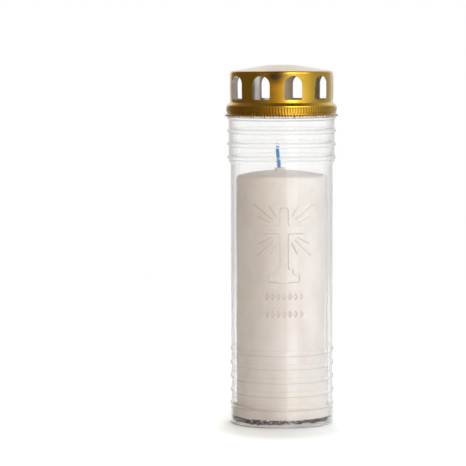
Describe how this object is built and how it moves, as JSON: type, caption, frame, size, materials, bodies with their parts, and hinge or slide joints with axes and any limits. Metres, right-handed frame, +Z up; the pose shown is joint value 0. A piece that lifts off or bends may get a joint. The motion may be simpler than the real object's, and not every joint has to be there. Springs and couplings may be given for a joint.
{
  "type": "sanctuary lamp",
  "caption": "Tall clear ribbed lamp container with a raised cross, a loose white candle with a blue wick, and a domed gold metal lid pierced with arched windows.",
  "frame": {"origin": "centre of the container's standing ring, on the surface that it stands on", "axes": "+Z up along the lamp's axis; the raised cross faces -Y; +X is to the right of the cross as seen from the front"},
  "size_m": [0.0748, 0.0748, 0.2357],
  "materials": {
    "clear_plastic": "clear thin blow-moulded plastic, glossy",
    "gold_lacquer": "thin aluminium sheet, gold lacquer outside, bare silver inside",
    "wax": "off-white candle wax, slightly translucent",
    "wick_cotton": "blue waxed braided wick",
    "tinplate": "thin tinplate"
  },
  "bodies": {
    "container": {"container": "clear_plastic"},
    "lid": {"lid": "gold_lacquer"},
    "candle_unit": {"candle": "wax", "wick": "wick_cotton", "wick_sustainer": "tinplate"}
  },
  "joints": [
    {"name": "lid_lift", "type": "slide", "parent": "container", "child": "lid", "axis": [0, 0, 1], "range_m": [0, 0.06]},
    {"name": "candle_lift", "type": "slide", "parent": "container", "child": "candle_unit", "axis": [0, 0, 1], "range_m": [0, 0.045]}
  ]
}
